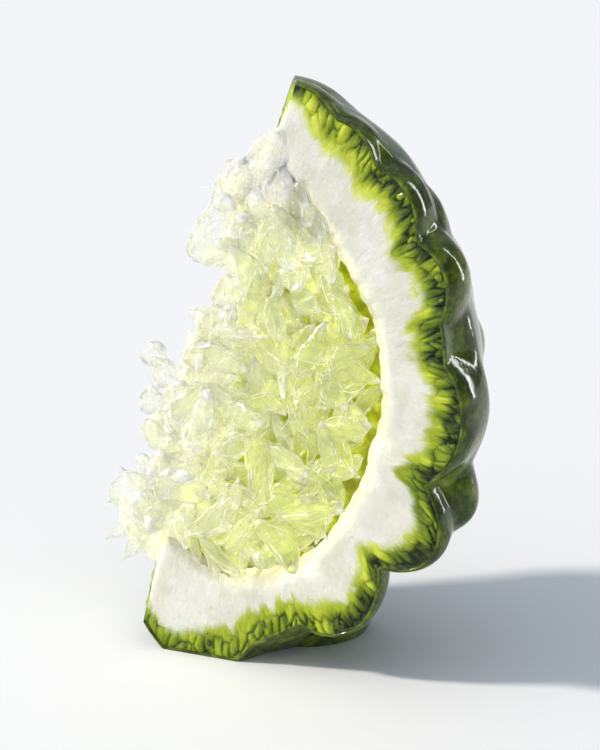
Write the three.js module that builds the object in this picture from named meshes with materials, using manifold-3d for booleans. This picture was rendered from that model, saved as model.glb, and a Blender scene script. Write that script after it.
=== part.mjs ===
// A wedge cut lengthwise from a bergamot orange, standing on the heel of its warty rind.
// Millimetres, +Z up. The front cut face lies in a plane of constant Y and faces -Y.
import * as THREE from "three";
import { mergeVertices } from "three/addons/utils/BufferGeometryUtils.js";
import Module from "manifold-3d";

// The fruit's own frame has +Z up its core and +X in the front cut face.
const WAIST_RADIUS = 29.2; // from the centre to the rind at the waist, between warts
const STEM_RISE = 4.6; // how much further from the centre the stem end lies
const BLOSSOM_RISE = 5.6; // and the blossom end
const PEEL = 9; // rind and pith together
const WEDGE_ANGLE = 114; // degrees round the core, from the front cut to the back cut
const LEAN = 17; // degrees that the core leans to the right
const CENTRE = [-7.9, -13.9, 36.95]; // of the whole fruit, from the middle of the wedge's underside

// Each wart: degrees down from the stem end, degrees round from the front cut, half width in degrees, height.
const WARTS = [
  [2, 20, 10, 1.8],
  [15, 10, 7, 1.2],
  [31, 10, 9, 1.9],
  [49, 9, 11, 2.9],
  [82, 9, 17, 3.4],
  [102, 14, 11, 5.4],
  [108, 4, 12, 4.6],
  [132, 4, 12, 3.5],
  [142, 41, 13, 5.5],
  [168, 8, 13, 3.2],
  [38, 26, 9, 1.6],
  [30, 48, 14, 1.2],
  [57, 40, 13, 2.0],
  [76, 42, 12, 3.6],
  [101, 42, 12, 4.0],
  [118, 29, 10, 5.0],
  [66, 66, 15, 2.8],
  [94, 72, 15, 3.0],
  [44, 82, 16, 2.4],
  [76, 98, 15, 2.6],
  [112, 98, 14, 2.8],
  [18, 100, 14, 2.0],
];
const HEEL_HEIGHT = 10;
const HEEL = [150, 61, 33, HEEL_HEIGHT]; // the broad swelling that the wedge stands on, in the same terms
const CREASE = 5; // a higher number leaves a deeper crease between two warts

// The pulp stands proud of both cuts, and clumps of its juice sacs bulge past the core.
const PROUD = 1.6;
const CLUMPS = [
  { up: 24, right: 1, back: 2, across: 4.6, along: 7 },
  { up: 15, right: -1, back: 3, across: 5.6, along: 8 },
  { up: 4, right: 0, back: 3, across: 5.4, along: 8 },
  { up: -7, right: 0, back: 3, across: 6.2, along: 8 },
  { up: -17, right: -1, back: 3.5, across: 6.6, along: 7 },
  { up: -24, right: -2, back: 4, across: 7.4, along: 6 },
];

const OUTSIDE = 200; // larger than the fruit, for the blocks that cut it
const toPart = new THREE.Matrix4()
  .makeRotationY(THREE.MathUtils.degToRad(LEAN))
  .setPosition(...CENTRE);

const wasm = await Module();
wasm.setup();

// A unit vector in the fruit's frame.
function direction(down, round) {
  const tilt = THREE.MathUtils.degToRad(down);
  const turn = THREE.MathUtils.degToRad(round);
  return new THREE.Vector3(
    Math.sin(tilt) * Math.cos(turn),
    Math.sin(tilt) * Math.sin(turn),
    Math.cos(tilt),
  );
}

// Full height at the middle of a swelling, falling to none at its edge.
function dome(way, [down, round, halfWidth, height]) {
  const off = way.angleTo(direction(down, round));
  const share = off / THREE.MathUtils.degToRad(halfWidth);
  return height * Math.max(1 - share * share, 0);
}

function smoothRadius(way) {
  const stem = STEM_RISE * Math.max(way.z, 0) ** 4;
  const blossom = BLOSSOM_RISE * Math.max(-way.z, 0) ** 1.5;
  return WAIST_RADIUS + stem + blossom;
}

// Warts meet in creases, because the taller of two counts where they overlap. The heel swells under them.
function rindRadius(way) {
  const warts = WARTS.reduce((sum, wart) => sum + dome(way, wart) ** CREASE, 0) ** (1 / CREASE);
  const heel = dome(way, HEEL) ** 2 / HEEL_HEIGHT;
  return smoothRadius(way) + warts + heel;
}

function pulpRadius(way) {
  return smoothRadius(way) - PEEL;
}

// A ball round the fruit's centre, each point moved out as far as its direction asks.
function grownBall(radiusOf, columns, rows) {
  const ball = new THREE.SphereGeometry(1, columns, rows).rotateX(Math.PI / 2);
  const points = ball.attributes.position;
  for (let i = 0; i < points.count; i++) {
    const way = new THREE.Vector3().fromBufferAttribute(points, i).normalize();
    way.multiplyScalar(radiusOf(way));
    points.setXYZ(i, way.x, way.y, way.z);
  }
  return ball;
}

function clumpOf({ up, right, back, across, along }) {
  return new THREE.SphereGeometry(1, 18, 14)
    .rotateX(Math.PI / 2)
    .scale(across, across, along)
    .translate(right, back, up);
}

// A block whose near face is the front cut, moved forward by proud.
function behindFrontCut(proud) {
  return new THREE.BoxGeometry(OUTSIDE, OUTSIDE, OUTSIDE)
    .translate(0, OUTSIDE / 2 - proud, 0);
}

// A block whose near face is the back cut.
function beforeBackCut(proud) {
  return new THREE.BoxGeometry(OUTSIDE, OUTSIDE, OUTSIDE)
    .translate(0, proud - OUTSIDE / 2, 0)
    .rotateZ(THREE.MathUtils.degToRad(WEDGE_ANGLE));
}

function solidOf(geometry) {
  geometry.deleteAttribute("normal");
  geometry.deleteAttribute("uv");
  const merged = mergeVertices(geometry);
  return new wasm.Manifold(new wasm.Mesh({
    numProp: 3,
    vertProperties: merged.attributes.position.array,
    triVerts: new Uint32Array(merged.index.array),
  }));
}

function placed(geometry) {
  return solidOf(geometry.applyMatrix4(toPart));
}

function peelAndCore() {
  return placed(grownBall(rindRadius, 88, 60))
    .intersect(placed(behindFrontCut(0)))
    .intersect(placed(beforeBackCut(0)));
}

function pulp() {
  return placed(grownBall(pulpRadius, 44, 30))
    .intersect(placed(behindFrontCut(PROUD)))
    .intersect(placed(beforeBackCut(PROUD)));
}

function clumps() {
  return CLUMPS.map((clump) => placed(clumpOf(clump))).reduce((all, next) => all.add(next));
}

// The wedge has worn flat where its heel meets the floor.
function aboveFloor(solid) {
  const block = new THREE.BoxGeometry(OUTSIDE, OUTSIDE, OUTSIDE);
  return solid.intersect(solidOf(block.translate(0, 0, OUTSIDE / 2)));
}

function meshOf(name, solid, colour, roughness) {
  const { vertProperties, triVerts } = solid.getMesh();
  const geometry = new THREE.BufferGeometry()
    .setAttribute("position", new THREE.BufferAttribute(vertProperties, 3))
    .setIndex(new THREE.BufferAttribute(triVerts, 1));
  geometry.computeVertexNormals();
  const material = new THREE.MeshStandardMaterial({ color: colour, roughness, metalness: 0 });
  const mesh = new THREE.Mesh(geometry, material);
  mesh.name = name;
  return mesh;
}

const wedge = aboveFloor(peelAndCore().add(pulp()).add(clumps()));

const group = new THREE.Group();
group.add(meshOf("bergamot_wedge", wedge, 0x2f4a16, 0.35));

export default group;
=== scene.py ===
# A wedge of bergamot orange: warty glossy rind, a cut band of oil glands, spongy pith and wet juice sacs.
import bpy
import math
import random
import numpy as np
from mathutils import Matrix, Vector, noise


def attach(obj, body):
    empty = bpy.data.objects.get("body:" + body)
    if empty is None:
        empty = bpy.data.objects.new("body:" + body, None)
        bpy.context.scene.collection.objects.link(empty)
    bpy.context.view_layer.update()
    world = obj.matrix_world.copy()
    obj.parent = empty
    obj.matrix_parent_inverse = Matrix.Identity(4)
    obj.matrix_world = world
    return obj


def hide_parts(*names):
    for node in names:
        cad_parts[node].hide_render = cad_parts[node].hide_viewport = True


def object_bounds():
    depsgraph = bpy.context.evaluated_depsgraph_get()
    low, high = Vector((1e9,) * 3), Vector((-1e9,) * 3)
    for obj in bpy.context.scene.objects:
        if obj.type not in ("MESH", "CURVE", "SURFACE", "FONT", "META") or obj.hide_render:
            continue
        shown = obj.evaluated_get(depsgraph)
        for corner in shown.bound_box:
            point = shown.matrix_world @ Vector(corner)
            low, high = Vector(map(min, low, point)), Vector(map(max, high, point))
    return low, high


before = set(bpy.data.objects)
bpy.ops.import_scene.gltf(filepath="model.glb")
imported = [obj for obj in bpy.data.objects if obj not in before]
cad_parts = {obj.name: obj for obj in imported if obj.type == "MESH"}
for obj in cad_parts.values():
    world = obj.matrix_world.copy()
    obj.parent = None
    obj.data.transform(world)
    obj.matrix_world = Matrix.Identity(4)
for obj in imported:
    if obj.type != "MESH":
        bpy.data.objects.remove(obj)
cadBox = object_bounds()
print("frame loaded")

mm = 0.001
dice = random.Random(11)

# The fruit's own frame has +Z up its core and +X in the front cut face.
# Lengths are millimetres and angles degrees, unless a comment says otherwise.
fruit = {
    "waistRadius": 29.2,
    "stemRise": 4.6,
    "blossomRise": 5.6,
    "wedgeAngle": 114,
    "lean": 17,
    "centre": (-7.9, -13.9, 36.95),  # from the middle of the wedge's underside
    "inset": 0.1,  # keeps the finished skin inside the CAD model's box
    "crease": 5,  # higher makes sharper creases between warts
    "heel": (150, 61, 33, 10),  # the foot it stands on, given as a wart but with a soft edge
    # degrees down from the stem end, degrees round from the front cut, half width in degrees, height
    "warts": [
        (2, 20, 10, 1.8),
        (15, 10, 7, 1.2),
        (31, 10, 9, 1.9),
        (49, 9, 11, 2.9),
        (82, 9, 17, 3.4),
        (102, 14, 11, 5.4),
        (108, 4, 12, 4.6),
        (132, 4, 12, 3.5),
        (142, 41, 13, 5.5),
        (168, 8, 13, 3.2),
        (38, 26, 9, 1.6),
        (30, 48, 14, 1.2),
        (57, 40, 13, 2.0),
        (76, 42, 12, 3.6),
        (101, 42, 12, 4.0),
        (118, 29, 10, 5.0),
        (66, 66, 15, 2.8),
        (94, 72, 15, 3.0),
        (44, 82, 16, 2.4),
        (76, 98, 15, 2.6),
        (112, 98, 14, 2.8),
        (18, 100, 14, 2.0),
    ],
}

lean = math.radians(fruit["lean"])
wedgeAngle = math.radians(fruit["wedgeAngle"])


# A unit vector for angles down from the stem end and round from the front cut, in radians.
def wayOf(down, around):
    down, around = np.broadcast_arrays(down, around)
    across = np.sin(down)
    return np.stack([across * np.cos(around), across * np.sin(around), np.cos(down)], -1)


def dome(ways, down, around, halfWidth, height):
    middle = wayOf(math.radians(down), math.radians(around))
    share = np.arccos(np.clip(ways @ middle, -1, 1)) / math.radians(halfWidth)
    return height * np.maximum(1 - share * share, 0)


def smoothRadius(ways):
    up = ways[..., 2]
    stem = fruit["stemRise"] * np.maximum(up, 0) ** 4
    return fruit["waistRadius"] + stem + fruit["blossomRise"] * np.maximum(-up, 0) ** 1.5


def smoothStep(value, low, high):
    share = np.clip((value - low) / (high - low), 0, 1)
    return share * share * (3 - 2 * share)


# Behind the cut the warts run together into one low ridge, so the hollows between them are shallow.
ridge = {
    "down": (0, 20, 40, 60, 80, 94, 104, 112),
    "height": (0.9, 1.0, 1.2, 1.7, 2.4, 2.8, 1.6, 0),
    "blend": 3,  # lower runs the warts into it more softly
    "starts": (3, 14),  # degrees round from the front cut
    "ends": (60, 95),
}


def ridgeHeight(ways):
    down = np.degrees(np.arccos(np.clip(ways[..., 2], -1, 1)))
    around = np.degrees(np.arctan2(ways[..., 1], ways[..., 0]))
    share = smoothStep(around, *ridge["starts"]) * (1 - smoothStep(around, *ridge["ends"]))
    return np.interp(down, ridge["down"], ridge["height"]) * share


def rindRadius(ways):
    crease = fruit["crease"]
    warts = sum(dome(ways, *wart) ** crease for wart in fruit["warts"])
    blend = ridge["blend"]
    warts = (warts ** (blend / crease) + ridgeHeight(ways) ** blend) ** (1 / blend)
    heel = dome(ways, *fruit["heel"]) ** 2 / fruit["heel"][3]
    return smoothRadius(ways) + warts + heel


# Millimetres in the fruit's frame to metres in the part's frame.
def toPart(points):
    x, y, z = points[..., 0], points[..., 1], points[..., 2]
    turned = [x * math.cos(lean) + z * math.sin(lean), y, z * math.cos(lean) - x * math.sin(lean)]
    return (np.stack(turned, -1) + np.array(fruit["centre"])) * mm


# How far the floor is from the fruit's centre along each way, or far off for a way that hardly falls.
def floorReach(ways):
    fall = ways[..., 0] * math.sin(lean) - ways[..., 2] * math.cos(lean)
    leastFall = 0.05
    farOff = 1000
    return np.where(fall > leastFall, fruit["centre"][2] / np.maximum(fall, leastFall), farOff)


# Smooth noise from -1 to 1, with swells about size millimetres wide.
def swells(points, size, seed=0):
    shift = Vector((17.3 * seed, 5.1 * seed, 9.7 * seed))  # keeps one seed's swells apart from the next's
    values = [noise.noise(Vector(point) / size + shift) for point in points.reshape(-1, 3).tolist()]
    return np.array(values).reshape(points.shape[:-1])


# A cut face: its ways lie at one angle round the core, and its normal points out of the wedge.
faces = {
    "front": {"around": 0.0, "normal": np.array([0.0, -1.0, 0.0])},
    "back": {
        "around": wedgeAngle,
        "normal": np.array([-math.sin(wedgeAngle), math.cos(wedgeAngle), 0.0]),
    },
}


# An sRGB hex colour as linear red, green, blue and alpha.
def linear(hexText):
    parts = [int(hexText[i:i + 2], 16) / 255 for i in (1, 3, 5)]
    return [p / 12.92 if p <= 0.04045 else ((p + 0.055) / 1.055) ** 2.4 for p in parts] + [1.0]


# Adds one shader node. An input is a value or another node's socket, and ramp lists a colour ramp's stops.
def addNode(tree, kind, inputs={}, ramp=None, **settings):
    node = tree.nodes.new("ShaderNode" + kind)
    for name, value in settings.items():
        setattr(node, name, value)
    for name, value in inputs.items():
        if isinstance(value, bpy.types.NodeSocket):
            tree.links.new(value, node.inputs[name])
        else:
            node.inputs[name].default_value = value
    if ramp:
        stops = node.color_ramp.elements
        while len(stops) < len(ramp):
            stops.new(0.5)
        for stop, (place, colour) in zip(stops, ramp):
            stop.position = place
            stop.color = linear(colour)
    return node


# A new material, its node tree and its shader.
def newMaterial(name):
    material = bpy.data.materials.new(name)
    material.use_nodes = True
    tree = material.node_tree
    return material, tree, tree.nodes["Principled BSDF"]


def setInputs(shader, values):
    for name, value in values.items():
        shader.inputs[name].default_value = value


# values holds one number per vertex under each name, which the materials read.
def makePiece(name, points, polygons, values, material, slot):
    mesh = bpy.data.meshes.new(name)
    mesh.from_pydata(toPart(points).tolist(), [], polygons)
    for key, numbers in values.items():
        attribute = mesh.attributes.new(key, "FLOAT", "POINT")
        attribute.data.foreach_set("value", np.asarray(numbers, np.float32))
    mesh.validate()
    mesh.shade_smooth()
    mesh.materials.append(material)
    piece = bpy.data.objects.new(name, mesh)
    piece.visible_shadow = slot != "juice_sacs"  # clear juice lets the window's light through
    bpy.context.scene.collection.objects.link(piece)
    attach(piece, "root")
    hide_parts("bergamot_wedge")
    print(name, len(points), "points")
    return piece


# Joins a row of closed rings into one closed skin. Points that meet, as all do at the two ends, are shared.
def closedRings(rings, values):
    stations, around = rings.shape[:2]
    index = np.arange(stations * around).reshape(stations, around)
    for row in (0, stations - 1):
        met = {}
        for column in range(around):
            place = tuple(np.round(rings[row, column], 4))
            index[row, column] = met.setdefault(place, index[row, column])
    ahead = np.roll(index, -1, axis=1)
    quads = np.stack([index[:-1], index[1:], ahead[1:], ahead[:-1]], -1).reshape(-1, 4)
    corners = [list(dict.fromkeys(quad)) for quad in quads.tolist()]
    corners = [polygon for polygon in corners if len(polygon) > 2]
    used = np.unique([corner for polygon in corners for corner in polygon])
    place = np.full(stations * around, -1)
    place[used] = np.arange(len(used))
    points = rings.reshape(-1, 3)[used]
    polygons = [[int(place[corner]) for corner in polygon] for polygon in corners]
    kept = {key: numbers.reshape(-1)[used] for key, numbers in values.items()}
    return points, outwards(points, polygons), kept


# Turns every polygon round if the closed skin faces inwards.
def outwards(points, polygons):
    volume = 0.0
    for polygon in polygons:
        for i in range(1, len(polygon) - 1):
            volume += np.dot(points[polygon[0]], np.cross(points[polygon[i]], points[polygon[i + 1]]))
    return polygons if volume > 0 else [polygon[::-1] for polygon in polygons]


# Citrus skin under its own wax: near-black green with olive patches, fine pores and sharp wet glints.
def waxySkin():
    material, tree, shader = newMaterial("waxy_citrus_skin")
    place = addNode(tree, "TexCoord").outputs["Object"]
    patches = addNode(tree, "TexNoise", {
        "Vector": place, "Scale": 1 / (3.5 * mm), "Detail": 8.0, "Roughness": 0.72})
    colour = addNode(tree, "ValToRGB", {"Fac": patches.outputs["Fac"]}, ramp=[
        (0.3, "#1f290a"), (0.46, "#3c4a10"), (0.58, "#64761e"), (0.74, "#949e3c")])
    # Oil pores stand about 0.9 mm apart, each with a paler fleck over it.
    pores = addNode(tree, "TexVoronoi", {"Vector": place, "Scale": 1 / (0.9 * mm), "Randomness": 0.9})
    flecks = addNode(tree, "ValToRGB", {"Fac": pores.outputs["Distance"]}, ramp=[
        (0.0, "#6f8434"), (0.34, "#000000")])
    mixed = addNode(tree, "Mix", {0: 0.25, 6: colour.outputs["Color"], 7: flecks.outputs["Color"]},
                    data_type="RGBA", blend_type="ADD")
    tree.links.new(mixed.outputs[2], shader.inputs["Base Color"])
    grain = addNode(tree, "TexNoise", {"Vector": place, "Scale": 1 / (0.5 * mm), "Detail": 3.0})
    rough = addNode(tree, "MapRange", {"Value": patches.outputs["Fac"], "To Min": 0.08, "To Max": 0.16})
    tree.links.new(rough.outputs["Result"], shader.inputs["Roughness"])
    dimples = addNode(tree, "Bump", {
        "Height": pores.outputs["Distance"], "Strength": 0.12, "Distance": 0.15 * mm})
    fine = addNode(tree, "Bump", {
        "Height": grain.outputs["Fac"], "Normal": dimples.outputs["Normal"],
        "Strength": 0.03, "Distance": 0.1 * mm})
    tree.links.new(fine.outputs["Normal"], shader.inputs["Normal"])
    setInputs(shader, {
        "IOR": 1.45,
        "Specular IOR Level": 0.36,  # wax worn dull in places
        "Sheen Weight": 0.25,
        "Sheen Roughness": 0.25,
        "Sheen Tint": linear("#cfc27a"),
    })
    return material


# Cut peel: wet green oil glands that fade into white spongy pith.
# It gives dark green to lime, then a soft matt white.
def cutPeel():
    material, tree, shader = newMaterial("cut_green_peel_and_pith")
    place = addNode(tree, "TexCoord").outputs["Object"]
    band = addNode(tree, "Attribute", attribute_name="band").outputs["Fac"]
    bright = addNode(tree, "Attribute", attribute_name="bright").outputs["Fac"]
    inner = addNode(tree, "Attribute", attribute_name="inner").outputs["Fac"]
    rim = addNode(tree, "Attribute", attribute_name="rim").outputs["Fac"]
    deep = addNode(tree, "Attribute", attribute_name="deep").outputs["Fac"]
    # Fibres run inwards from the rim: 0.35 mm across, and five times as long. rim and deep are millimetres.
    long = addNode(tree, "Math", {0: deep, 1: 0.2}, operation="MULTIPLY")
    radial = addNode(tree, "CombineXYZ", {"X": rim, "Y": long.outputs[0]}).outputs["Vector"]
    streaks = addNode(tree, "TexNoise", {
        "Vector": radial, "Scale": 1 / 0.35, "Detail": 4.0, "Roughness": 0.65})
    soft = addNode(tree, "TexNoise", {
        "Vector": place, "Scale": 1 / (4 * mm), "Detail": 5.0, "Roughness": 0.6})
    mottle = addNode(tree, "MapRange", {
        "Value": streaks.outputs["Fac"], "From Min": 0.3, "From Max": 0.7, "To Min": -0.14, "To Max": 0.14})
    lit = addNode(tree, "Math", {0: bright, 1: mottle.outputs["Result"]}, operation="ADD")
    green = addNode(tree, "ValToRGB", {"Fac": lit.outputs[0]}, ramp=[
        (0.0, "#1c2606"), (0.2, "#44560a"), (0.45, "#788e12"), (0.7, "#afbf24"), (1.0, "#dfe65c")])
    pith = addNode(tree, "ValToRGB", {"Fac": soft.outputs["Fac"]}, ramp=[
        (0.3, "#e0dfce"), (0.5, "#ebeadd"), (0.7, "#f3f3ec")])
    tinted = addNode(tree, "Mix", {0: inner, 6: pith.outputs["Color"], 7: linear("#dbd9bc")},
                     data_type="RGBA")
    fray = addNode(tree, "MapRange", {
        "Value": streaks.outputs["Fac"], "From Min": 0.3, "From Max": 0.7, "To Min": -0.25, "To Max": 0.25})
    ragged = addNode(tree, "Math", {0: band, 1: fray.outputs["Result"]}, operation="ADD")
    edge = addNode(tree, "MapRange", {"Value": ragged.outputs[0], "From Min": 0.0, "From Max": 0.8},
                   interpolation_type="SMOOTHSTEP")
    mixed = addNode(tree, "Mix", {
        0: edge.outputs["Result"], 6: tinted.outputs[2], 7: green.outputs["Color"]}, data_type="RGBA")
    tree.links.new(mixed.outputs[2], shader.inputs["Base Color"])
    wet = addNode(tree, "MapRange", {"Value": edge.outputs["Result"], "To Min": 0.7, "To Max": 0.18})
    tree.links.new(wet.outputs["Result"], shader.inputs["Roughness"])
    # Pith cells are finer than this, and are drawn coarse enough to show.
    fibres = addNode(tree, "TexNoise", {
        "Vector": place, "Scale": 1 / (0.35 * mm), "Detail": 4.0, "Roughness": 0.7})
    fluff = addNode(tree, "Bump", {
        "Height": fibres.outputs["Fac"], "Strength": 0.8, "Distance": 0.25 * mm})
    bump = addNode(tree, "Bump", {
        "Height": streaks.outputs["Fac"], "Normal": fluff.outputs["Normal"],
        "Strength": 0.4, "Distance": 0.2 * mm})
    tree.links.new(bump.outputs["Normal"], shader.inputs["Normal"])
    setInputs(shader, {
        "Subsurface Weight": 0.6,
        "Subsurface Radius": (1.0, 1.0, 0.6),
        "Subsurface Scale": 1.0 * mm,
        "IOR": 1.4,
        "Specular IOR Level": 0.4,
    })
    return material


# Citrus flesh behind the loose sacs: packed juice.
# It gives the deep saturated yellow-green and the wet gloss in the gaps.
def packedFlesh():
    material, tree, shader = newMaterial("packed_citrus_flesh")
    place = addNode(tree, "TexCoord").outputs["Object"]
    cells = addNode(tree, "TexNoise", {
        "Vector": place, "Scale": 1 / (2.2 * mm), "Detail": 4.0, "Roughness": 0.6})
    colour = addNode(tree, "ValToRGB", {"Fac": cells.outputs["Fac"]}, ramp=[
        (0.3, "#6f7908"), (0.48, "#98a216"), (0.6, "#bdc540"), (0.75, "#dadf94")])
    tree.links.new(colour.outputs["Color"], shader.inputs["Base Color"])
    bump = addNode(tree, "Bump", {"Height": cells.outputs["Fac"], "Strength": 0.5, "Distance": 0.4 * mm})
    tree.links.new(bump.outputs["Normal"], shader.inputs["Normal"])
    setInputs(shader, {
        "Roughness": 0.2,
        "IOR": 1.36,
        "Subsurface Weight": 0.6,
        "Subsurface Radius": (1.0, 1.0, 0.25),
        "Subsurface Scale": 3 * mm,
    })
    return material


# Juice sac: a thin see-through skin full of pale juice, and wet.
# It gives a watery yellow-green with white folds and glints, and white edges that are partly the skin's own
# milkiness seen side-on and partly painted sheen.
def juiceSac():
    material, tree, shader = newMaterial("juice_sac")
    along = addNode(tree, "Attribute", attribute_name="along").outputs["Fac"]
    bright = addNode(tree, "Attribute", attribute_name="bright").outputs["Fac"]
    place = addNode(tree, "TexCoord").outputs["Object"]
    # Painted sheen: the skin turns white and less clear where it is seen side-on, partly its own milkiness,
    # partly a painted reflection.
    facing = addNode(tree, "LayerWeight", {"Blend": 0.5}).outputs["Facing"]
    edgeMilkAndSheen = addNode(tree, "MapRange", {"Value": facing, "From Min": 0.55, "From Max": 0.9})
    clouds = addNode(tree, "TexNoise", {"Vector": place, "Scale": 1 / (1.2 * mm), "Detail": 4.0})
    tail = addNode(tree, "ValToRGB", {"Fac": along}, ramp=[
        (0.0, "#999999"), (0.15, "#000000"), (0.8, "#000000"), (1.0, "#ffffff")])
    cosine = addNode(tree, "Attribute", attribute_name="across").outputs["Fac"]
    sine = addNode(tree, "Attribute", attribute_name="through").outputs["Fac"]
    lengthwise = addNode(tree, "Math", {0: along, 1: bright}, operation="ADD")
    # A sac's folds keep to its own skin: two or three round it, and as many along it.
    onSkin = addNode(tree, "CombineXYZ", {"X": cosine, "Y": sine, "Z": lengthwise.outputs[0]})
    folds = addNode(tree, "TexNoise", {
        "Vector": onSkin.outputs["Vector"], "Scale": 2.6, "Detail": 3.0, "Roughness": 0.6})
    lines = addNode(tree, "MapRange", {
        "Value": folds.outputs["Fac"], "From Min": 0.6, "From Max": 0.7, "To Max": 0.85})
    outline = addNode(tree, "Math", {0: edgeMilkAndSheen.outputs["Result"], 1: tail.outputs["Color"]},
                      operation="MAXIMUM")
    whiter = addNode(tree, "Math", {0: outline.outputs[0], 1: lines.outputs["Result"]}, operation="MAXIMUM")
    juice = addNode(tree, "Mix", {0: bright, 6: linear("#f0f6a6"), 7: linear("#fdfef2")}, data_type="RGBA")
    colour = addNode(tree, "Mix", {0: whiter.outputs[0], 6: juice.outputs[2], 7: linear("#ffffff")},
                     data_type="RGBA")
    tree.links.new(colour.outputs[2], shader.inputs["Base Color"])
    body = addNode(tree, "MapRange", {
        "Value": clouds.outputs["Fac"], "From Min": 0.35, "From Max": 0.65, "To Min": 0.95, "To Max": 0.76})
    clear = addNode(tree, "MapRange", {
        "Value": whiter.outputs[0], "To Min": body.outputs["Result"], "To Max": 0.2})
    tree.links.new(clear.outputs["Result"], shader.inputs["Transmission Weight"])
    bump = addNode(tree, "Bump", {"Height": folds.outputs["Fac"], "Strength": 0.8, "Distance": 0.45 * mm})
    tree.links.new(bump.outputs["Normal"], shader.inputs["Normal"])
    setInputs(shader, {
        "Roughness": 0.05,
        "IOR": 1.2,  # below juice's own 1.35, as the sacs lie in a wet film
        "Coat Weight": 1.0,
        "Coat Roughness": 0.04,
        "Coat IOR": 1.6,
        "Emission Color": linear("#f7f8de"),
        "Emission Strength": 0.02,  # stands in for light scattered from sac to sac
    })
    return material


# Oil gland: a clear sac of oil in green peel. It gives bright wet lime beads.
def oilGland():
    material, tree, shader = newMaterial("oil_gland")
    bright = addNode(tree, "Attribute", attribute_name="bright").outputs["Fac"]
    place = addNode(tree, "TexCoord").outputs["Object"]
    grain = addNode(tree, "TexNoise", {"Vector": place, "Scale": 1 / (0.5 * mm), "Detail": 3.0})
    mottle = addNode(tree, "MapRange", {
        "Value": grain.outputs["Fac"], "From Min": 0.3, "From Max": 0.7, "To Min": -0.2, "To Max": 0.2})
    lit = addNode(tree, "Math", {0: bright, 1: mottle.outputs["Result"]}, operation="ADD")
    colour = addNode(tree, "ValToRGB", {"Fac": lit.outputs[0]}, ramp=[
        (0.0, "#2a3a08"), (0.35, "#566e0c"), (0.7, "#94aa18"), (1.0, "#d2dc44")])
    tree.links.new(colour.outputs["Color"], shader.inputs["Base Color"])
    bump = addNode(tree, "Bump", {"Height": grain.outputs["Fac"], "Strength": 0.5, "Distance": 0.15 * mm})
    tree.links.new(bump.outputs["Normal"], shader.inputs["Normal"])
    setInputs(shader, {
        "Roughness": 0.1,
        "IOR": 1.47,
        "Subsurface Weight": 0.5,
        "Subsurface Radius": (0.6, 1.0, 0.2),
        "Subsurface Scale": 0.8 * mm,
    })
    return material


# Torn membrane: thin threads. It gives fine off-white lines over the sacs.
def membrane():
    material, tree, shader = newMaterial("torn_membrane")
    place = addNode(tree, "TexCoord").outputs["Object"]
    blotches = addNode(tree, "TexNoise", {"Vector": place, "Scale": 1 / (1.5 * mm), "Detail": 3.0})
    colour = addNode(tree, "ValToRGB", {"Fac": blotches.outputs["Fac"]}, ramp=[
        (0.35, "#f0f0c8"), (0.6, "#fdfdf2")])
    tree.links.new(colour.outputs["Color"], shader.inputs["Base Color"])
    setInputs(shader, {
        "Roughness": 0.25,
        "IOR": 1.4,
        "Subsurface Weight": 0.4,
        "Subsurface Scale": 0.5 * mm,
    })
    return material


skin = {
    "thickness": 0.4,
    "stations": 430,
    "nearSteps": 70,
    "nearAngle": 38,  # how far round from the front cut the near steps go
    "farSteps": 70,
    "lumpHeight": 0.09,
    "lumpSize": 5.0,
    "pitHeight": 0.01,
    "pitSize": 1.5,
    "lowered": 0.8,  # share of each swell's height taken off, so that none stands out of the box
    "innerStride": 6,  # the hidden inside needs only one step in this many
}


# Angles round the core from one cut to the other, closer together where the skin shows beside the front cut.
def roundSteps():
    nearAngle = math.radians(skin["nearAngle"])
    near = np.linspace(0, nearAngle, skin["nearSteps"], endpoint=False)
    return np.concatenate([near, np.linspace(nearAngle, wedgeAngle, skin["farSteps"])])


def skinRadius(ways):
    ideal = rindRadius(ways)
    places = ways * ideal[..., None]
    lumps = skin["lumpHeight"] * (swells(places, skin["lumpSize"], 1) - skin["lowered"])
    pits = skin["pitHeight"] * (swells(places, skin["pitSize"], 2) - skin["lowered"])
    return np.minimum(ideal - fruit["inset"] + lumps + pits, floorReach(ways))


def makeSkin(material):
    downs = np.linspace(0, math.pi, skin["stations"])[:, None]
    steps = roundSteps()[None, :]
    ways = wayOf(downs, steps)
    outer = skinRadius(ways)
    few = slice(None, None, skin["innerStride"])
    innerWays = ways[:, few][:, ::-1]
    innerRadius = outer[:, few][:, ::-1] - skin["thickness"]
    rings = np.concatenate([ways * outer[..., None], innerWays * innerRadius[..., None]], 1)
    points, polygons, _ = closedRings(rings, {})
    return makePiece("warty_skin", points, polygons, {}, material, "rind")


peel = {
    "thickness": 9.0,
    "stations": 620,
    "cutSteps": 66,
    "backSteps": 26,
    "wallSteps": 22,
    "outwardCrowding": 0.75,  # below 1, steps crowd towards the skin
    "rimRadius": 30,  # about the rind's radius, which turns angles into lengths along the rim
    "bandDepth": 3.7,  # of green under the skin
    "bandFade": 2.0,
    "bandRecess": 0.4,  # how far the walls between glands sit back from the cut
    "thinEnds": [(178, 12, 0.4), (0, 5, 0.4)],  # of the green: degrees down, width in degrees, share lost
    # how much thicker the pith is: degrees down from the stem end, width in degrees, millimetres
    "pithSwells": [(25, 22, 2.0), (180, 12, 2.4), (145, 30, -1.6), (85, 25, -0.8)],
    "wallRags": [(5, 3, 0.5), (1.1, 14, 0.35)],  # of the pith's inner wall: size, seed, height
    "wallRadius": 22,  # about the inner wall's radius
}

glands = {
    "width": 1.05,
    "length": 2.6,
    "bulge": 0.4,
    "clumpBulge": 0.45,
    "crease": 0.6,  # share of a gland's width that its rounded edge takes up
    "flattenFrom": (1.2, 3.2),  # depths over which the glands run together
    "wander": (0.4, 2.5),  # how far their rows stray along the rim, and over what length
}

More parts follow.
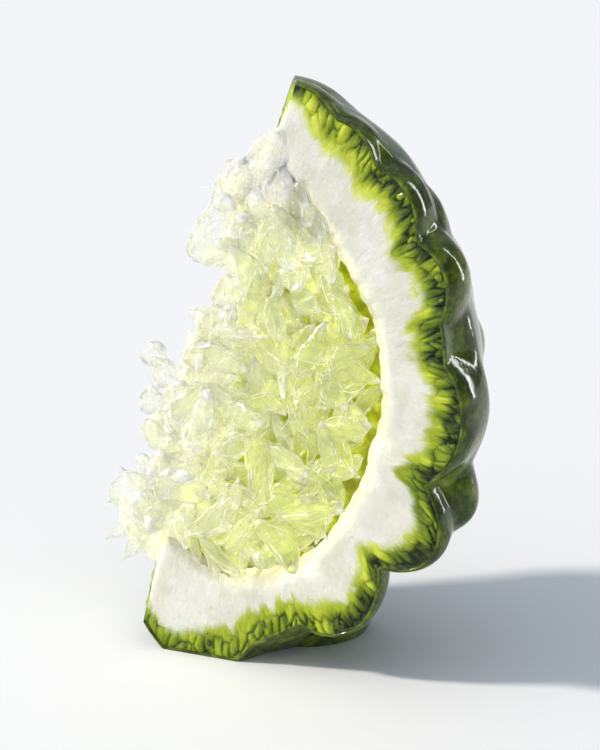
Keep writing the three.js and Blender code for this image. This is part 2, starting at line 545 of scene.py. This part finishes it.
sponge = {
    "swells": [(2.2, 6, 0.1), (0.6, 7, 0.05)],  # size, seed, height
    "fibreWidth": 0.35,
    "fibreLength": 2.2,
    "fibreHeight": 0.03,
    "lip": 0.9,  # how far the pith's inner edge curls back from the cut, and how wide the curl is
    "mostLift": 0.3,  # keeps the cut inside the CAD model's box
}

# How light the green is, from nearly black at 0 to pale lime at 1. Angles are radians down from the stem end.
tone = {
    "start": 0.45,
    "stemSide": 0.33,
    "stemReach": 0.95,
    "lowSide": 0.19,
    "lowFrom": (1.7, 2.3),
    "calm": 0.75,  # share of the contrast lost towards the blossom end
    "calmFrom": (2.2, 2.7),
    "patch": 0.22,
    "patchSize": 3.5,
    "clump": 0.6,
    "clumpSize": 1.5,
    "eachGland": 0.2,
    "inwards": 0.5,
    "wall": 0.5,
}


# A rise of 1 at middle that dies away over width.
def rise(value, middle, width):
    return np.exp(-((value - middle) / width) ** 2)


# The pith is thicker towards the stem end and at the blossom tip, and thinner over the heel.
def pulpRadius(ways):
    down = np.degrees(np.arccos(np.clip(ways[..., 2], -1, 1)))
    thicker = sum(extra * rise(down, middle, width) for middle, width, extra in peel["pithSwells"])
    places = ways * peel["wallRadius"]
    ragged = sum(height * swells(places, size, seed) for size, seed, height in peel["wallRags"])
    return smoothRadius(ways) - peel["thickness"] - thicker + ragged


# The green is thinner at both ends of the cut, and its inner edge is ragged.
def bandDepth(ways):
    places = ways * peel["rimRadius"]
    down = np.degrees(np.arccos(np.clip(ways[..., 2], -1, 1)))
    thinned = 1 - sum(share * rise(down, middle, width) for middle, width, share in peel["thinEnds"])
    return peel["bandDepth"] * thinned * (1 + 0.22 * swells(places, 6, 4) + 0.1 * swells(places, 1.6, 5))


# A share from 0 to 1 that is fixed for each cell but has no pattern to the eye.
def chance(column, row, kind):
    value = np.sin(column * 127.1 + row * 311.7 + kind * 74.7) * 43758.5453
    return value - np.floor(value)


# Oil glands pack side by side like long cells.
# Gives how far each place is inside its gland, and a share that is the gland's own.
def glandCells(alongRim, depth):
    u = alongRim / glands["width"]
    v = depth / glands["length"] + 0.35 * np.sin(alongRim * 0.9)
    nearest = np.full(u.shape, 9.0)
    second = np.full(u.shape, 9.0)
    own = np.zeros(u.shape)
    for column in (-1, 0, 1):
        for row in (-1, 0, 1):
            i = np.floor(u) + column
            j = np.floor(v) + row
            away = np.hypot(i + 0.2 + 0.6 * chance(i, j, 1) - u, j + 0.15 + 0.7 * chance(i, j, 2) - v)
            closer = away < nearest
            second = np.where(closer, nearest, np.minimum(second, away))
            nearest = np.where(closer, away, nearest)
            own = np.where(closer, chance(i, j, 3), own)
    inside = np.clip((second - nearest) / glands["crease"], 0, 1)
    return np.sqrt(inside * (2 - inside)), own


# Points over one cut face, from the pith's inner wall to the skin if outward, else back the other way.
# With them come the values that its material reads.
def cutFace(face, downs, steps, outward):
    ways = wayOf(downs, np.full((1, 1), faces[face]["around"]))[:, 0]
    rimWays = ways * peel["rimRadius"]
    outer = skinRadius(ways) - skin["thickness"]
    inner = pulpRadius(ways)
    share = np.linspace(0, 1, steps)[None, :] ** peel["outwardCrowding"]
    share = share if outward else share[:, ::-1]
    radius = inner[:, None] + (outer - inner)[:, None] * share
    fromWall = radius - inner[:, None]
    depth = outer[:, None] - radius
    places = ways[:, None, :] * radius[..., None]

    wander, wanderSize = glands["wander"]
    alongRim = downs * peel["rimRadius"] + wander * swells(places, wanderSize, 12)
    inGland, own = glandCells(alongRim, depth)
    limit = bandDepth(ways)[:, None] * (0.85 + 0.3 * own)
    band = np.clip(0.5 + (limit - depth) / peel["bandFade"], 0, 1)
    nearSkin = 1 - smoothStep(depth, *glands["flattenFrom"])
    clumpPlaces = rimWays[:, None, :] + np.stack([depth * 0, depth * 0.5, depth * 0], -1)
    clumped = swells(clumpPlaces, tone["clumpSize"], 21)

    patch = swells(rimWays, tone["patchSize"], 9)[:, None]
    calm = 1 - tone["calm"] * smoothStep(downs, *tone["calmFrom"])
    bright = tone["start"] + tone["stemSide"] * rise(downs, 0, tone["stemReach"])
    bright = bright + tone["lowSide"] * smoothStep(downs, *tone["lowFrom"])
    bright = bright + calm * (tone["patch"] * patch + tone["eachGland"] * (own - 0.5))
    bright = bright + (tone["clump"] * clumped * calm - 0.05) * (0.35 + 0.65 * nearSkin)
    bright = bright + tone["inwards"] * calm * (depth / limit - 0.5)
    bright = np.clip(bright - tone["wall"] * (1 - inGland) * nearSkin, 0, 1)

    fluff = sum(height * swells(places, size, seed) for size, seed, height in sponge["swells"])
    fibres = np.stack([alongRim / sponge["fibreWidth"], depth / sponge["fibreLength"], 0 * depth], -1)
    fluff = fluff + sponge["fibreHeight"] * swells(fibres, 1.0, 13)
    bulge = glands["bulge"] * (inGland * nearSkin + (1 - nearSkin) * 0.8)
    bulge = bulge + glands["clumpBulge"] * clumped * nearSkin - peel["bandRecess"]
    green = smoothStep(band, 0.3, 1.0)
    lift = fluff * (1 - green) + green * bulge - sponge["lip"] * rise(fromWall, 0, sponge["lip"])
    lift *= np.minimum(np.sin(downs) * peel["rimRadius"] / 2, 1)  # flat at the core, where all rows meet
    lift *= np.clip(depth / 0.15, 0.3, 1)  # and low at the skin, which it has to meet
    places = places + faces[face]["normal"] * np.minimum(lift, sponge["mostLift"])[..., None]
    nearWall = np.clip(1 - fromWall / 1.4, 0, 1)
    return places, {"band": band, "inner": nearWall, "bright": bright, "rim": alongRim, "deep": depth}


def makePeel(material):
    downs = np.linspace(0, math.pi, peel["stations"])[:, None]
    front, frontValues = cutFace("front", downs, peel["cutSteps"], True)
    back, backValues = cutFace("back", downs, peel["backSteps"], False)
    few = np.linspace(0, wedgeAngle, peel["wallSteps"])[None, 1:-1]
    outerWays = wayOf(downs, few)
    outer = outerWays * (skinRadius(outerWays) - skin["thickness"])[..., None]
    innerWays = wayOf(downs, few[:, ::-1])
    inner = innerWays * pulpRadius(innerWays)[..., None]
    rings = np.concatenate([front, outer, back, inner], 1)
    flat = np.zeros(outer.shape[:2])
    hidden = {"band": (flat + 1, flat), "inner": (flat, flat + 1)}
    values = {}
    for key in frontValues:
        underSkin, wall = hidden.get(key, (flat, flat))
        values[key] = np.concatenate([frontValues[key], underSkin, backValues[key], wall], 1)
    points, polygons, kept = closedRings(rings, values)
    return makePiece("cut_peel", points, polygons, kept, material, "pith")


flesh = {
    "middle": (9.0, 8.0, -2.0),  # a point well inside it
    "recess": 2.6,  # how far it lies behind the cuts
    "intoPith": 1.4,  # how far it reaches into the pith's wall, so that no gap shows
    "rows": 130,
    "columns": 190,
    "lumps": 0.9,
    "lumpSize": 3.2,
    "corner": 12,  # higher makes its corners sharper
    "farthest": 60.0,
    "halvings": 18,
}


# Reaches from a middle point out to whichever is nearest: a cut plane or the pith's inner wall.
def makeFlesh(material):
    downs = np.linspace(0, math.pi, flesh["rows"])[:, None]
    arounds = np.linspace(0, 2 * math.pi, flesh["columns"], endpoint=False)[None, :]
    ways = wayOf(downs, arounds)
    middle = np.array(flesh["middle"])
    reaches = []
    for face in faces.values():
        towards = np.maximum(ways @ face["normal"], 1e-3)
        reaches.append((-flesh["recess"] - middle @ face["normal"]) / towards)
    low = np.zeros(ways.shape[:2])
    high = np.full(ways.shape[:2], flesh["farthest"])
    for _ in range(flesh["halvings"]):  # halves in on the wall
        half = (low + high) / 2
        reached = middle + ways * half[..., None]
        length = np.linalg.norm(reached, axis=-1)
        wall = smoothRadius(reached / length[..., None]) - peel["thickness"] + flesh["intoPith"]
        low = np.where(length < wall, half, low)
        high = np.where(length < wall, high, half)
    reaches.append(low)
    power = -float(flesh["corner"])
    nearest = sum(np.maximum(reach, 0.1) ** power for reach in reaches) ** (1 / power)
    places = middle + ways * nearest[..., None]
    nearest = nearest + flesh["lumps"] * swells(places, flesh["lumpSize"], 8) * smoothStep(nearest, 2, 8)
    points, polygons, _ = closedRings(middle + ways * nearest[..., None], {})
    return makePiece("packed_flesh", points, polygons, {}, material, "pulp")


# Any teardrop's usual shape, as shares of its radius unless said, where its own body doesn't say otherwise.
usual = {
    "head": 0.65,  # lower is blunter
    "tail": 0.9,
    "dents": 0.34,
    "folds": 0.1,
    "wrinkles": 0.1,
    "wrinkleSize": 0.7,  # millimetres
}


# One sac, round towards its outer end and drawn out to a tail, with soft dents.
def teardrop(body, rows, columns):
    along = np.linspace(0, 1, rows)
    outline = along ** body.get("head", usual["head"]) * (1 - along) ** body.get("tail", usual["tail"])
    outline /= outline.max()
    turn = np.linspace(0, 2 * math.pi, columns, endpoint=False)[None, :]
    width = body["width"]
    across = np.cos(turn) * outline[:, None] * width / 2
    deep = np.sin(turn) * outline[:, None] * width / 2 * body["flat"]
    points = np.stack([across, deep, (along[:, None] - 0.5) * body["length"] + 0 * turn], -1)
    dents = 1 + body.get("dents", usual["dents"]) * swells(points, width * 0.8, body["seed"])
    dents += usual["wrinkles"] * swells(points, usual["wrinkleSize"], body["seed"])
    dents += body.get("folds", usual["folds"]) * np.cos(4 * turn + body["seed"] + 5 * along[:, None])
    points[..., :2] *= dents[..., None]
    points[..., 0] += body["bend"] * body["length"] * (np.sin(along * math.pi)[:, None] - 0.5)
    shape = points.shape[:2]
    values = {
        "along": np.broadcast_to(along[:, None], shape),
        "across": np.broadcast_to(np.cos(turn), shape),
        "through": np.broadcast_to(np.sin(turn), shape),
        "bright": np.full(shape, body["bright"]),
    }
    return points, values


# Polygons of one teardrop, whose first and last rows are single points.
def teardropPolygons(rows, columns):
    def at(row, column):
        return 1 + (row - 1) * columns + column % columns

    polygons = []
    last = 1 + (rows - 2) * columns
    for column in range(columns):
        ahead = column + 1
        polygons.append([0, at(1, ahead), at(1, column)])
        polygons.append([last, at(rows - 2, column), at(rows - 2, ahead)])
        for row in range(1, rows - 2):
            polygons.append([at(row, column), at(row, ahead), at(row + 1, ahead), at(row + 1, column)])
    return polygons


# A row of rings as one list of points, with the first and last rings as one point each.
def withoutDoubles(rings):
    return np.concatenate([rings[:1, 0], rings[1:-1].reshape(-1, *rings.shape[2:]), rings[-1:, 0]])


boxMargin = 0.05
boxLow = np.array(cadBox[0]) / mm + boxMargin
boxHigh = np.array(cadBox[1]) / mm - boxMargin


# Shifts a whole body back inside the CAD model's box, so that none of it is cut flat.
def pushedInBox(points):
    part = toPart(points) / mm
    x, y, z = np.maximum(boxLow - part.min(0), 0) - np.maximum(part.max(0) - boxHigh, 0)
    turned = [x * math.cos(lean) - z * math.sin(lean), y, x * math.sin(lean) + z * math.cos(lean)]
    return points + np.array(turned)


# Many bodies in one piece. They all have the same polygons, which may face either way.
def makeBodies(name, bodies, pattern, values, material, slot):
    polygons = []
    for number, points in enumerate(bodies):
        start = number * len(points)
        facing = outwards(points - points.mean(0), pattern)
        polygons += [[corner + start for corner in polygon] for polygon in facing]
    return makePiece(name, np.concatenate(bodies), polygons, values, material, slot)


# Many teardrops in one piece. Each body has its middle, its long axis, an upward side and its own sizes.
def makeTeardrops(name, bodies, rows, columns, material, slot):
    placed = []
    values = {"along": [], "across": [], "through": [], "bright": []}
    for body in bodies:
        points, ownValues = teardrop(body, rows, columns)
        axis = body["axis"] / np.linalg.norm(body["axis"])
        side = np.cross(axis, body["up"])
        side /= np.linalg.norm(side)
        deep = np.cross(axis, side)
        turned = points[..., :1] * side + points[..., 1:2] * deep + points[..., 2:] * axis
        placed.append(pushedInBox(withoutDoubles(turned) + body["middle"]))
        for key, numbers in ownValues.items():
            values[key].append(withoutDoubles(numbers))
    joined = {key: np.concatenate(numbers) for key, numbers in values.items()}
    return makeBodies(name, placed, teardropPolygons(rows, columns), joined, material, slot)


sacs = {
    "down": (4, 176),
    "length": (3.8, 7.2),
    "width": (1.6, 2.8),
    "flat": (0.35, 0.65),
    "bend": (-0.16, 0.16),
    "outwards": 0.5,  # how much their axes keep to the way out from the core
    "stray": 0.9,  # against how much they point any way
    "laidDown": 0.75,  # share of an axis's tilt from the cut that is taken off
    "rock": 0.35,
    "gapDown": (20, 60, 110, 150),
    "gap": (1.2, 2.1, 2.7, 1.3),  # from the pith's wall to the first sacs
    "paleAtCore": 0.75,
    "deepens": 0.035,  # with each millimetre from the core
    "paleSpread": 0.15,
}

# How many places are tried, how proud of the cut the sacs lie, how far apart, and how far out they start.
sacLayers = {
    "juice_sacs_front": [
        {"tries": 800, "proud": (-2.6, -1.2), "apart": 2.0, "start": -2},
        {"tries": 800, "proud": (-0.9, 0.4), "apart": 2.0, "start": -1},
        {"tries": 400, "proud": (0.3, 1.2), "apart": 3.4, "start": 0, "scale": 1.25},
    ],
    "juice_sacs_back": [
        {"tries": 500, "proud": (-1.6, 0.0), "apart": 2.8, "start": 1},
    ],
    "juice_sacs_back_over": [
        {"tries": 900, "proud": (-2.2, -0.6), "apart": 2.0, "start": 0},
        {"tries": 300, "proud": (-0.6, 0.3), "apart": 3.2, "start": 1},
    ],
}


def spread(low, high):
    return low + (high - low) * dice.random()


# A random way, not of unit length.
def anyWay():
    return np.array([dice.gauss(0, 1) for _ in range(3)])


def anySeed():
    return dice.random() * 50


# The value itself, kept between 0 and 1.
def asShare(value):
    return min(max(value, 0), 1)


# Sacs over one cut face, in layers from deep to proud, each kept a little apart from the last.
def faceSacs(face, layers):
    normal = faces[face]["normal"]
    around = faces[face]["around"]
    bodies = []
    for layer in layers:
        placed = []
        scale = layer.get("scale", 1)
        for _ in range(layer["tries"]):
            down = math.radians(spread(*sacs["down"]))
            way = wayOf(down, around)
            gap = float(np.interp(math.degrees(down), sacs["gapDown"], sacs["gap"]))
            wall = float(pulpRadius(way[None, :])[0]) - gap
            radius = wall * math.sqrt(dice.random())
            middle = way * radius
            fromCore = radius * math.sin(down)
            crowded = any(np.linalg.norm(middle - other) < layer["apart"] for other in placed)
            if crowded or fromCore < layer["start"]:
                continue
            placed.append(middle)
            axis = way * sacs["outwards"] + sacs["stray"] * anyWay()
            axis -= normal * (axis @ normal) * sacs["laidDown"]
            pale = sacs["paleAtCore"] - sacs["deepens"] * fromCore
            bodies.append({
                "middle": middle + normal * spread(*layer["proud"]),
                "axis": axis,
                "up": normal + sacs["rock"] * anyWay(),
                "length": spread(*sacs["length"]) * scale,
                "width": spread(*sacs["width"]) * scale,
                "flat": spread(*sacs["flat"]),
                "bend": spread(*sacs["bend"]),
                "seed": anySeed(),
                "bright": asShare(pale + dice.gauss(0, sacs["paleSpread"])),
            })
    return bodies


looseEdge = {
    "count": 120,
    "up": (-28, 26),  # along the core
    "reachUp": (-29, -24, -16, -4, 1, 8, 15, 22, 27),
    "reach": (3, 8.5, 7.2, 7, 4.4, 4.8, 6.8, 5.6, 3),  # how far the edge stands out from the core there
    "within": 1.2,  # how far inside it the middles stay
    "turn": (95, 285),
    "behind": 2.8,  # the front cut
    "squash": 0.75,
    "rock": 0.4,
    "length": (3.6, 6.8),
    "width": (2.4, 4.2),
    "flat": (0.5, 0.85),
    "bend": (-0.14, 0.14),
    "bright": (0.75, 1.0),
}


# Sacs that hang loose past the core, paler and rounder.
def edgeSacs():
    bodies = []
    for _ in range(looseEdge["count"]):
        up = spread(*looseEdge["up"])
        reach = float(np.interp(up, looseEdge["reachUp"], looseEdge["reach"])) - looseEdge["within"]
        turn = math.radians(spread(*looseEdge["turn"]))
        radius = reach * math.sqrt(dice.random())
        forward = looseEdge["behind"] + math.sin(turn) * radius * looseEdge["squash"]
        bodies.append({
            "middle": np.array([math.cos(turn) * radius, forward, up]),
            "axis": np.array([math.cos(turn) * 0.7, math.sin(turn) * 0.3, dice.gauss(0, 0.8)]),
            "up": np.array([0.1, -1.0, 0.05]) + looseEdge["rock"] * anyWay(),
            "length": spread(*looseEdge["length"]),
            "width": spread(*looseEdge["width"]),
            "flat": spread(*looseEdge["flat"]),
            "bend": spread(*looseEdge["bend"]),
            "head": 0.5,
            "tail": 0.5,
            "seed": anySeed(),
            "bright": spread(*looseEdge["bright"]),
        })
    return bodies


# Single sacs that can be told apart, given one by one in the fruit's frame.
# Each has its middle, axis, length, width, flatness, paleness, and how pointed its outer end is.
singleSacs = [
    ((-4.6, -0.6, 15.4), (0.25, 0, 1), 9.6, 5.2, 0.5, 1.0, 0.5),
    ((-4.4, 0.4, 20.2), (0.3, 0, 1), 5.6, 4.2, 0.6, 1.0, 0.5),
    ((4.2, -1.6, 18.0), (0.55, 0, -0.8), 7.8, 3.2, 0.55, 0.8, 0.5),
    ((-8.2, 0.4, -2.4), (0.6, 0, 0.8), 3.6, 3.0, 0.8, 1.0, 0.5),
    ((-6.2, 0.4, -4.0), (0.9, 0, -0.5), 4.4, 3.0, 0.7, 1.0, 0.5),
    ((-7.0, 0.8, -8.2), (0.1, 0, 1), 3.8, 2.9, 0.8, 1.0, 0.5),
    ((-5.6, 0.6, -12.0), (0.5, 0, -0.6), 4.0, 2.6, 0.7, 0.85, 0.5),
    ((-6.6, 1.2, -20.6), (1, 0, 0.5), 6.4, 4.2, 0.45, 0.95, 0.5),
    ((-6.9, 1.6, -22.4), (1, 0, 0.35), 7.6, 3.0, 0.4, 1.0, 1.4),
    ((-6.4, 1.0, -25.0), (0.5, 0, 1), 7.2, 2.8, 0.4, 1.0, 1.4),
    ((-4.6, 0.2, -22.8), (-0.2, 0, 1), 6.4, 5.2, 0.5, 0.95, 0.5),
    ((-4.2, 0.6, -26.4), (0.2, 0, 1), 6.6, 2.6, 0.4, 0.9, 1.4),
    ((-6.4, 0.8, -18.4), (0.8, 0, -0.1), 5.4, 2.0, 0.4, 1.0, 1.5),
    ((-1.0, -0.5, 25.4), (0.3, 0, 1), 8.0, 3.2, 0.3, 1.0, 0.5),
    ((-2.6, -0.4, 23.0), (0.8, 0, 0.8), 7.0, 2.6, 0.35, 1.0, 0.5),
    ((0.6, -0.6, 22.6), (-0.3, 0, 1), 7.0, 3.0, 0.3, 1.0, 0.5),
    ((-3.8, -0.2, 21.4), (0.9, 0, 0.5), 5.2, 2.4, 0.4, 1.0, 0.5),
    ((7.6, -0.6, 20.2), (0.6, 0, -0.8), 7.0, 2.6, 0.4, 0.9, 0.5),
    ((9.6, -0.5, 17.6), (0.5, 0, -0.9), 6.0, 2.4, 0.45, 0.7, 0.5),
    ((5.0, -0.3, 22.4), (0.5, 0, -0.9), 5.6, 2.8, 0.45, 0.95, 0.5),
]


def singleBodies():
    bodies = []
    for middle, axis, length, width, flat, bright, head in singleSacs:
        bodies.append({
            "middle": np.array(middle),
            "axis": np.array(axis),
            "up": np.array([0.05, -1.0, 0.05]),
            "length": length,
            "width": width,
            "flat": flat,
            "bend": spread(-0.1, 0.1),
            "head": head,
            "tail": 0.5,
            "folds": 0.04,
            "seed": anySeed(),
            "bright": bright,
        })
    return bodies


# Pith left on the core at the stem end, flat behind the cut: middle, axis, length, width, flatness.
coreLumps = [
    ((-0.4, 0.3, 26.2), (0.26, 0, 1), 11.5, 5.6, 0.24),
    ((-2.0, 0.35, 23.6), (0.8, 0, 1), 9.0, 4.8, 0.26),
    ((0.9, 0.15, 23.0), (-0.05, 0, 1), 9.0, 5.8, 0.2),
    ((-3.2, 0.5, 22.9), (1, 0, 0.35), 5.0, 2.2, 0.4),
]


def coreBodies():
    bodies = []
    for middle, axis, length, width, flat in coreLumps:
        bodies.append({
            "middle": np.array(middle),
            "axis": np.array(axis),
            "up": np.array([0.0, -1.0, 0.0]),
            "length": length,
            "width": width,
            "flat": flat,
            "bend": 0,
            "head": 0.6,
            "tail": 1.3,
            "dents": 0.1,
            "folds": 0.05,
            "seed": anySeed(),
            "bright": 0,
        })
    return bodies


beads = {
    "down": (3, 178),
    "spacing": 2.1,
    "uneven": (0.6, 1.5),  # times the spacing
    "length": (1.1, 1.9),
    "width": (0.8, 1.2),
    "under": (0.5, 1.5),  # below the skin
    "sunk": (-0.75, -0.5),  # of the middle, against the cut
    "rock": 0.15,
    "start": 0.35,
    "stemSide": 0.35,
    "patch": 0.4,
    "patchSize": 4.0,
    "toneSpread": 0.12,
}


# Round wet glands bead out of the cut just under the skin.
def glandBeads(face):
    normal = faces[face]["normal"]
    around = faces[face]["around"]
    bodies = []
    down, lowest = [math.radians(angle) for angle in beads["down"]]
    while down < lowest:
        way = wayOf(down, around)
        outer = float(skinRadius(way[None, :])[0]) - skin["thickness"]
        patch = float(swells(way[None, :] * peel["rimRadius"], beads["patchSize"], 9)[0])
        stemSide = rise(down, 0, tone["stemReach"])
        bright = beads["start"] + beads["stemSide"] * stemSide + beads["patch"] * patch
        bodies.append({
            "middle": way * (outer - spread(*beads["under"])) + normal * spread(*beads["sunk"]),
            "axis": way + beads["rock"] * anyWay(),
            "up": normal,
            "length": spread(*beads["length"]),
            "width": spread(*beads["width"]),
            "flat": 1.0,
            "bend": 0,
            "head": 0.5,
            "tail": 0.5,
            "seed": anySeed(),
            "bright": asShare(bright + dice.gauss(0, beads["toneSpread"])),
        })
        down += beads["spacing"] * spread(*beads["uneven"]) / outer
    return bodies


threads = {
    "radius": 0.035,
    "sides": 6,
    "steps": 24,
    "loose": [  # given in the fruit's frame, four points to a curve
        [(-8.2, -0.4, -3.6), (-8.0, 0, -5.6), (-7.0, 0, -6.2), (-5.4, 0, -6.4)],
        [(-5.4, 0, 20.6), (-6.6, -0.2, 20.2), (-7.4, 0, 19.2), (-8.6, 0, 19.2)],
        [(-4.4, 0.5, -17.2), (-6.4, 0, -17.0), (-7.6, 0, -17.8), (-8.2, 0.4, -18.8)],
        [(-6.2, 0.5, -22.6), (-8.0, 0, -22.2), (-9.0, 0.2, -22.8), (-9.6, 0.4, -24.2)],
    ],
    "laid": 16,  # over the front cut at random
    "down": (20, 160),
    "out": (0.05, 0.95),
    "proud": (-1.6, -0.6),
    "length": (2.0, 5.5),
    "sway": (-0.3, 0.3),
}


# A thin closed tube along a cubic Bezier curve, thinner towards both ends.
def threadRings(curve):
    t = np.linspace(0, 1, threads["steps"])[:, None]
    a, b, c, d = [np.array(point, float) for point in curve]
    centre = a * (1 - t) ** 3 + 3 * b * t * (1 - t) ** 2 + 3 * c * t * t * (1 - t) + d * t ** 3
    tangent = np.gradient(centre, axis=0)
    tangent /= np.linalg.norm(tangent, axis=1, keepdims=True)
    side = np.cross(tangent, np.array([0.13, 0.9, 0.41]))
    side /= np.linalg.norm(side, axis=1, keepdims=True)
    other = np.cross(tangent, side)
    turn = np.linspace(0, 2 * math.pi, threads["sides"], endpoint=False)
    thick = threads["radius"] * np.minimum(1, 6 * np.sin(t * math.pi))
    ring = np.cos(turn)[None, :, None] * side[:, None] + np.sin(turn)[None, :, None] * other[:, None]
    return centre[:, None] + ring * thick[..., None]


def makeThreads(material):
    curves = list(threads["loose"])
    for _ in range(threads["laid"]):
        way = wayOf(math.radians(spread(*threads["down"])), 0.0)
        radius = float(pulpRadius(way[None, :])[0]) * math.sqrt(spread(*threads["out"]))
        start = way * radius + np.array([0, spread(*threads["proud"]), 0])
        length = spread(*threads["length"])
        heading = anyWay() * np.array([1, 0.15, 1])  # nearly in the plane of the cut
        heading *= length / np.linalg.norm(heading)
        sway = np.array([heading[2], 0, -heading[0]]) * spread(*threads["sway"])
        curves.append([start, start + heading / 3 + sway, start + heading * 2 / 3 + sway, start + heading])
    pattern = teardropPolygons(threads["steps"], threads["sides"])
    placed = [pushedInBox(withoutDoubles(threadRings(curve))) for curve in curves]
    return makeBodies("membrane_threads", placed, pattern, {}, material, "juice_sacs")


makeSkin(waxySkin())
peelMaterial = cutPeel()
makePeel(peelMaterial)
makeTeardrops("core_pith", coreBodies(), 40, 40, peelMaterial, "pith")
makeFlesh(packedFlesh())
sacMaterial = juiceSac()
glandMaterial = oilGland()
makeTeardrops("oil_glands_front", glandBeads("front"), 14, 14, glandMaterial, "oil_glands")
makeTeardrops("oil_glands_back", glandBeads("back"), 10, 10, glandMaterial, "oil_glands")


def makeFaceSacs(name, face, steps):
    makeTeardrops(name, faceSacs(face, sacLayers[name]), steps, steps, sacMaterial, "juice_sacs")


makeFaceSacs("juice_sacs_front", "front", 18)
makeFaceSacs("juice_sacs_back", "back", 14)
makeTeardrops("juice_sacs_edge", edgeSacs(), 18, 18, sacMaterial, "juice_sacs")
makeTeardrops("juice_sacs_single", singleBodies(), 28, 28, sacMaterial, "juice_sacs")
makeThreads(membrane())
makeFaceSacs("juice_sacs_back_over", "back", 14)
print("wedge built")


def makeFloor():
    mesh = bpy.data.meshes.new("floor")
    half = 3.0
    corners = [(-half, -half, 0), (half, -half, 0), (half, half, 0), (-half, half, 0)]
    mesh.from_pydata(corners, [], [(0, 1, 2, 3)])
    floor = bpy.data.objects.new("floor", mesh)
    bpy.context.scene.collection.objects.link(floor)
    material, _, shader = newMaterial("matt_white_paper")
    setInputs(shader, {
        "Base Color": linear("#f8f8f8"),
        "Roughness": 0.9,
    })
    mesh.materials.append(material)


window = {
    "strength": 2.85,
    "angle": 7,  # degrees across, which softens the shadow's edge
    "towards": (0.85, 0.42, -0.62),
    "colour": (1.0, 0.93, 0.84),
}


def aimed(light, towards):
    light.rotation_mode = "QUATERNION"
    light.rotation_quaternion = Vector(towards).to_track_quat("-Z", "Y")
    bpy.context.scene.collection.objects.link(light)


def addWindow():
    data = bpy.data.lights.new("window", "SUN")
    data.energy = window["strength"]
    data.angle = math.radians(window["angle"])
    data.color = window["colour"]
    aimed(bpy.data.objects.new("window", data), window["towards"])


# Lamps that show only in reflections. The strip draws thin highlights down the rind from behind, and the pane
# draws the white glints on wet sacs and glands. Places and sizes are metres.
panels = {
    "edge_strip": {"place": (0.42, 0.5, 0.12), "size": (0.045, 0.9), "watts": 2.3},
    "window_pane": {"place": (-0.5, -0.42, 0.42), "size": (0.1, 0.26), "watts": 1.3},
}


def addPanel(name):
    panel = panels[name]
    data = bpy.data.lights.new(name, "AREA")
    data.shape = "RECTANGLE"
    data.size, data.size_y = panel["size"]
    data.energy = panel["watts"]
    light = bpy.data.objects.new(name, data)
    light.location = panel["place"]
    light.visible_camera = False
    light.visible_diffuse = False
    aimed(light, -Vector(panel["place"]))


room = {
    "colour": "#e4eefc",
    "strength": 0.69,
    "darkSide": (0.8, 0.6, 0.0),
    "darkStrength": 0.22,
    "darkFrom": (0.2, 0.85),  # how directly a way faces the dark side
}


# An even white room, dimmer on the side away from the window.
def makeRoom():
    world = bpy.data.worlds.new("white_room")
    bpy.context.scene.world = world
    world.use_nodes = True
    tree = world.node_tree
    way = addNode(tree, "TexCoord").outputs["Generated"]
    side = addNode(tree, "VectorMath", {0: way, 1: room["darkSide"]}, operation="DOT_PRODUCT")
    strength = addNode(tree, "MapRange", {
        "Value": side.outputs["Value"], "From Min": room["darkFrom"][0], "From Max": room["darkFrom"][1],
        "To Min": room["strength"], "To Max": room["darkStrength"]})
    background = tree.nodes["Background"]
    background.inputs["Color"].default_value = linear(room["colour"])
    tree.links.new(strength.outputs["Result"], background.inputs["Strength"])


camera = {
    "azimuth": 25,
    "elevation": 15,
    "lens": 120,
    "distance": 0.28875,
    "target": (2.93, -13.9, 36.77),  # millimetres
}


def makeCamera():
    data = bpy.data.cameras.new("camera")
    data.lens = camera["lens"]
    data.sensor_width = 36
    data.clip_start = 0.01
    data.clip_end = 20
    around = math.radians(camera["azimuth"])
    up = math.radians(camera["elevation"])
    back = Vector((math.sin(around) * math.cos(up), -math.cos(around) * math.cos(up), math.sin(up)))
    body = bpy.data.objects.new("camera", data)
    body.location = Vector(camera["target"]) * mm + back * camera["distance"]
    body.rotation_mode = "QUATERNION"
    body.rotation_quaternion = (-back).to_track_quat("-Z", "Y")
    bpy.context.scene.collection.objects.link(body)
    bpy.context.scene.camera = body


makeFloor()
makeRoom()
addWindow()
for panelName in panels:
    addPanel(panelName)
bpy.context.scene.view_settings.view_transform = "Standard"
makeCamera()
print("stage set")
